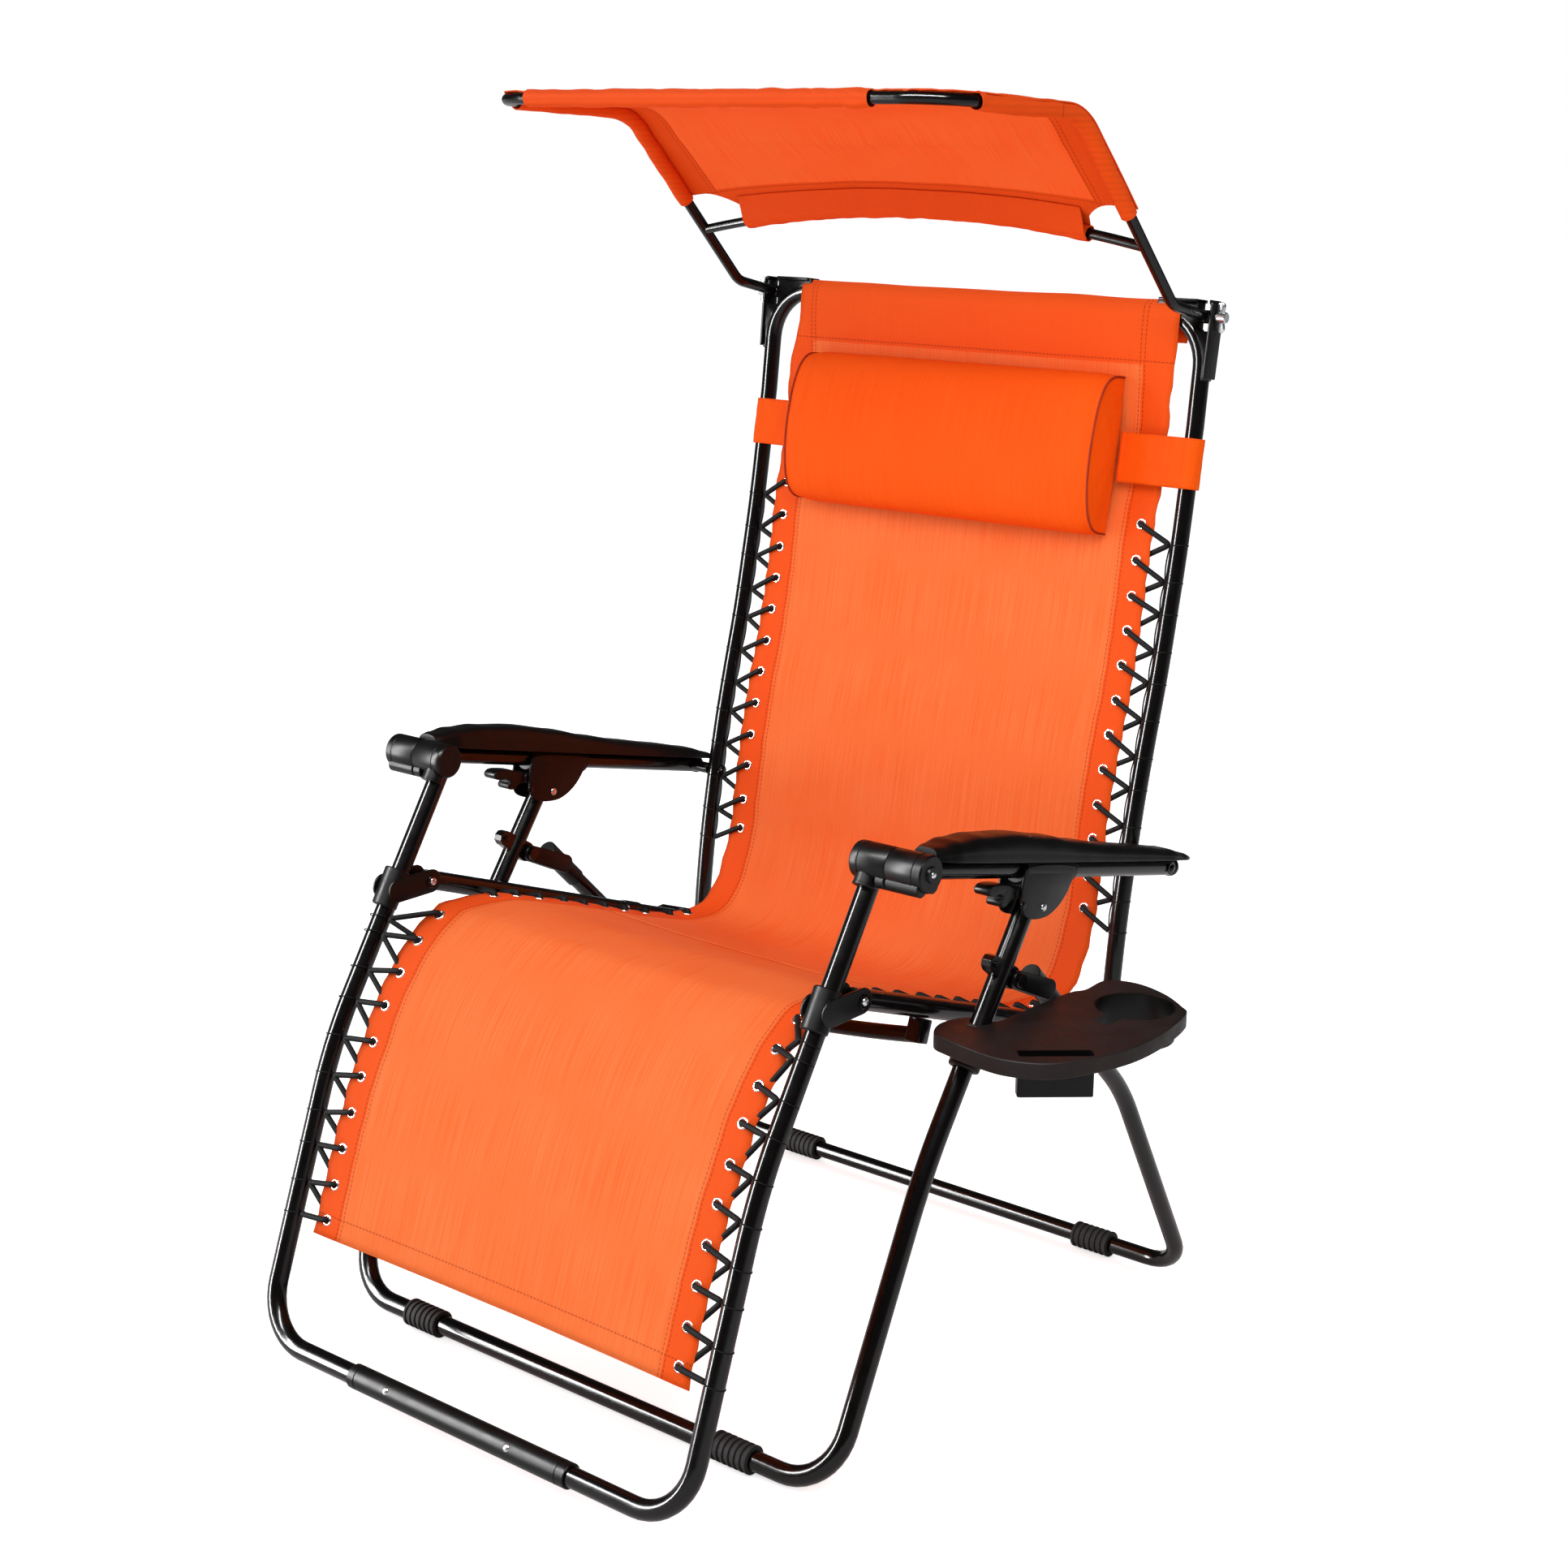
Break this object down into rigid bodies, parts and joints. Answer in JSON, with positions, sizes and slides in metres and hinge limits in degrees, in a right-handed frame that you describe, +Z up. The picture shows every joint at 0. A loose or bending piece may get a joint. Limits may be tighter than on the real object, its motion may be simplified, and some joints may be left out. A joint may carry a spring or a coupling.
{
  "type": "sun lounger with canopy",
  "caption": "Folding reclining sun lounger of bent tube with a laced cloth sling, a head pillow, padded arms, a tilting canopy and a side tray with a cup hole.",
  "frame": {"origin": "on the floor, below the middle of the object's outline seen from above", "axes": "+Z up, -Y the way the sitter faces, +X the sitter's left, where the tray is"},
  "size_m": [0.894, 0.891, 1.3618],
  "materials": {
    "steel": "gloss powder coat",
    "plastic": "satin moulded",
    "tray": "matte moulded",
    "rubber": "matte",
    "zinc": "zinc plated",
    "sling": "woven mesh cloth",
    "canopy": "woven cloth",
    "cord": "braided elastic"
  },
  "bodies": {
    "rear_base": {"rear_base": "steel", "rear_foot_left": "rubber", "rear_foot_right": "rubber", "cross_fork_left": "steel", "cross_fork_right": "steel", "seat_pin_left": "zinc", "seat_pin_right": "zinc"},
    "front_base": {"front_base": "steel", "front_foot_left": "rubber", "front_foot_right": "rubber", "cross_tongue_left": "zinc", "cross_tongue_right": "zinc", "tray": "tray"},
    "seat": {"seat_rail_left": "steel", "seat_rail_right": "steel", "seat_crossbar": "steel", "hip_bracket_left": "steel", "hip_bracket_right": "steel", "hip_pin_left": "zinc", "hip_pin_right": "zinc", "knee_pin_left": "zinc", "knee_pin_right": "zinc", "sling_seat": "sling", "lacing_seat_left": "cord", "lacing_seat_right": "cord"},
    "back": {"back_frame": "steel", "back_corner_left": "plastic", "back_corner_right": "plastic", "arm_pin_left": "zinc", "arm_pin_right": "zinc", "sling_back": "sling", "lacing_back_left": "cord", "lacing_back_right": "cord"},
    "leg_rest": {"leg_frame": "steel", "knee_bracket_left": "plastic", "knee_bracket_right": "plastic", "arm_hub_left": "plastic", "arm_hub_right": "plastic", "leg_bar_sleeve": "plastic", "sling_leg": "sling", "lacing_leg_left": "cord", "lacing_leg_right": "cord"},
    "arms": {"arm_rail_left": "steel", "arm_rail_right": "steel", "arm_knuckle_left": "plastic", "arm_knuckle_right": "plastic", "arm_pad_left": "plastic", "arm_pad_right": "plastic"},
    "lock_sliders": {"lock_slider_left": "plastic", "lock_slider_right": "plastic"},
    "lock_lever_left": {"lock_lever_left": "plastic"},
    "lock_lever_right": {"lock_lever_right": "plastic"},
    "canopy": {"canopy_frame": "steel", "canopy_cover": "canopy"},
    "canopy_knob_left": {"canopy_knob_left": "plastic"},
    "canopy_knob_right": {"canopy_knob_right": "plastic"},
    "pillow": {"pillow": "canopy", "pillow_strap_left": "canopy", "pillow_strap_right": "canopy"}
  },
  "joints": [
    {"name": "fold", "type": "hinge", "parent": "rear_base", "child": "front_base", "pos_m": [-0.065, 0.021, 0.481], "axis": [1, 0, 0], "range_deg": [0, 52]},
    {"name": "seat_fold", "type": "hinge", "parent": "rear_base", "child": "seat", "pos_m": [-0.065, 0.15396, 0.38507], "axis": [1, 0, 0], "range_deg": [-12.05, 0]},
    {"name": "hip_fold", "type": "hinge", "parent": "seat", "child": "back", "pos_m": [-0.065, 0.29, 0.338], "axis": [1, 0, 0], "range_deg": [0, 40.05]},
    {"name": "knee_fold", "type": "hinge", "parent": "seat", "child": "leg_rest", "pos_m": [-0.065, -0.184, 0.502], "axis": [1, 0, 0], "range_deg": [0, 64.05]},
    {"name": "arm_fold", "type": "hinge", "parent": "back", "child": "arms", "pos_m": [-0.065, 0.317, 0.535], "axis": [1, 0, 0], "range_deg": [-37.55, 0]},
    {"name": "lock_slide", "type": "slide", "parent": "arms", "child": "lock_sliders", "axis": [0, 0.9783, -0.2073], "range_m": [-0.1072, 0]},
    {"name": "lock_lever_left_turn", "type": "hinge", "parent": "lock_sliders", "child": "lock_lever_left", "pos_m": [0.288, 0.01695, 0.57506], "axis": [1, 0, 0], "range_deg": [0, 30]},
    {"name": "lock_lever_right_turn", "type": "hinge", "parent": "lock_sliders", "child": "lock_lever_right", "pos_m": [-0.418, 0.01695, 0.57506], "axis": [1, 0, 0], "range_deg": [0, 30]},
    {"name": "canopy_tilt", "type": "hinge", "parent": "back", "child": "canopy", "pos_m": [-0.065, 0.428, 1.13], "axis": [1, 0, 0], "range_deg": [-100, 15]},
    {"name": "canopy_knob_left_turn", "type": "hinge", "parent": "back", "child": "canopy_knob_left", "pos_m": [0.242, 0.428, 1.13], "axis": [1, 0, 0], "range_deg": [-90, 90]},
    {"name": "canopy_knob_right_turn", "type": "hinge", "parent": "back", "child": "canopy_knob_right", "pos_m": [-0.372, 0.428, 1.13], "axis": [1, 0, 0], "range_deg": [-90, 90]},
    {"name": "pillow_slide", "type": "slide", "parent": "back", "child": "pillow", "axis": [0, 0.1591, 0.9873], "range_m": [-0.035, 0.006]}
  ],
  "couplings": [
    {"joint": "seat_fold", "follows": "fold", "ratio": -0.23077},
    {"joint": "hip_fold", "follows": "fold", "ratio": 0.76923},
    {"joint": "knee_fold", "follows": "fold", "ratio": 1.2308},
    {"joint": "arm_fold", "follows": "fold", "ratio": -0.72115}
  ]
}
